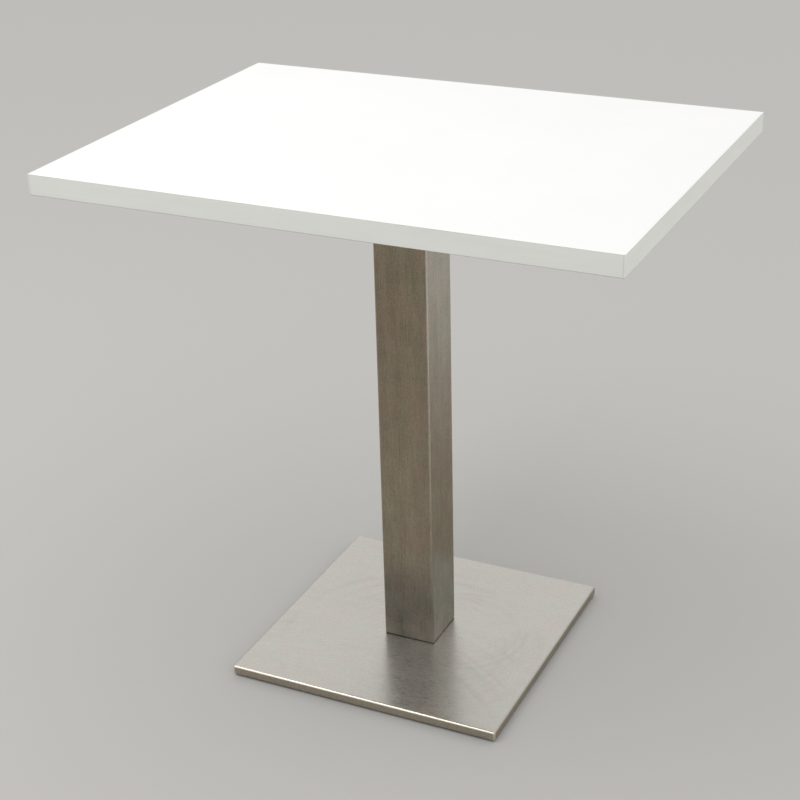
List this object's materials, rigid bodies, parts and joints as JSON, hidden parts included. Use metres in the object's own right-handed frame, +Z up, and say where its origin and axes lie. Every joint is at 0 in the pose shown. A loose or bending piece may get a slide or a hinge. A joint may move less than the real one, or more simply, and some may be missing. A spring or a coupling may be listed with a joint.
{
  "type": "bistro table",
  "caption": "Bistro table with a rectangular white laminated top, a square brushed steel column, a flat square weighted base and levelling glides.",
  "frame": {"origin": "on the floor, under the middle of the column", "axes": "+Z up, +X along the long side of the top, -Y towards the front edge"},
  "size_m": [0.8, 0.6, 0.775],
  "materials": {
    "white_laminate": "satin",
    "backing_laminate": "matt",
    "edge_band": "satin",
    "particle_board": "raw particle board",
    "black_powder_coat": "fine texture powder coat",
    "zinc_steel": "zinc plated",
    "black_steel": "black oxide",
    "plain_steel": "mill finish",
    "brushed_stainless": "brushed along its length",
    "brushed_stainless_cover": "brushed satin",
    "ballast_iron": "black primer",
    "gasket_rubber": "matt",
    "black_nylon": "matt"
  },
  "bodies": {
    "table": {"board_core": "particle_board", "top_laminate": "white_laminate", "underside_laminate": "backing_laminate", "edge_band_front": "edge_band", "edge_band_back": "edge_band", "edge_band_left": "edge_band", "edge_band_right": "edge_band", "mounting_plate": "black_powder_coat", "mounting_wood_screws": "zinc_steel", "head_screws": "black_steel", "column_head_plate": "plain_steel", "column_tube": "brushed_stainless", "column_foot_plate": "plain_steel", "foot_gasket": "gasket_rubber", "base_cover": "brushed_stainless_cover", "base_ballast": "ballast_iron", "base_screws": "black_steel"},
    "pad_front_left": {"glide_pad_front_left": "black_nylon"},
    "stem_front_left": {"glide_stem_front_left": "zinc_steel"},
    "pad_front_right": {"glide_pad_front_right": "black_nylon"},
    "stem_front_right": {"glide_stem_front_right": "zinc_steel"},
    "pad_back_left": {"glide_pad_back_left": "black_nylon"},
    "stem_back_left": {"glide_stem_back_left": "zinc_steel"},
    "pad_back_right": {"glide_pad_back_right": "black_nylon"},
    "stem_back_right": {"glide_stem_back_right": "zinc_steel"}
  },
  "joints": [
    {"name": "glide_lift_front_left", "type": "slide", "parent": "table", "child": "pad_front_left", "axis": [0, 0, -1], "range_m": [0, 0.004]},
    {"name": "glide_turn_front_left", "type": "hinge", "parent": "pad_front_left", "child": "stem_front_left", "pos_m": [-0.16, -0.16, 0.004], "axis": [0, 0, -1], "range_deg": [0, 1152]},
    {"name": "glide_lift_front_right", "type": "slide", "parent": "table", "child": "pad_front_right", "axis": [0, 0, -1], "range_m": [0, 0.004]},
    {"name": "glide_turn_front_right", "type": "hinge", "parent": "pad_front_right", "child": "stem_front_right", "pos_m": [0.16, -0.16, 0.004], "axis": [0, 0, -1], "range_deg": [0, 1152]},
    {"name": "glide_lift_back_left", "type": "slide", "parent": "table", "child": "pad_back_left", "axis": [0, 0, -1], "range_m": [0, 0.004]},
    {"name": "glide_turn_back_left", "type": "hinge", "parent": "pad_back_left", "child": "stem_back_left", "pos_m": [-0.16, 0.16, 0.004], "axis": [0, 0, -1], "range_deg": [0, 1152]},
    {"name": "glide_lift_back_right", "type": "slide", "parent": "table", "child": "pad_back_right", "axis": [0, 0, -1], "range_m": [0, 0.004]},
    {"name": "glide_turn_back_right", "type": "hinge", "parent": "pad_back_right", "child": "stem_back_right", "pos_m": [0.16, 0.16, 0.004], "axis": [0, 0, -1], "range_deg": [0, 1152]}
  ],
  "couplings": [
    {"joint": "glide_turn_front_left", "follows": "glide_lift_front_left", "rad_per_m": 5026.5},
    {"joint": "glide_turn_front_right", "follows": "glide_lift_front_right", "rad_per_m": 5026.5},
    {"joint": "glide_turn_back_left", "follows": "glide_lift_back_left", "rad_per_m": 5026.5},
    {"joint": "glide_turn_back_right", "follows": "glide_lift_back_right", "rad_per_m": 5026.5}
  ]
}
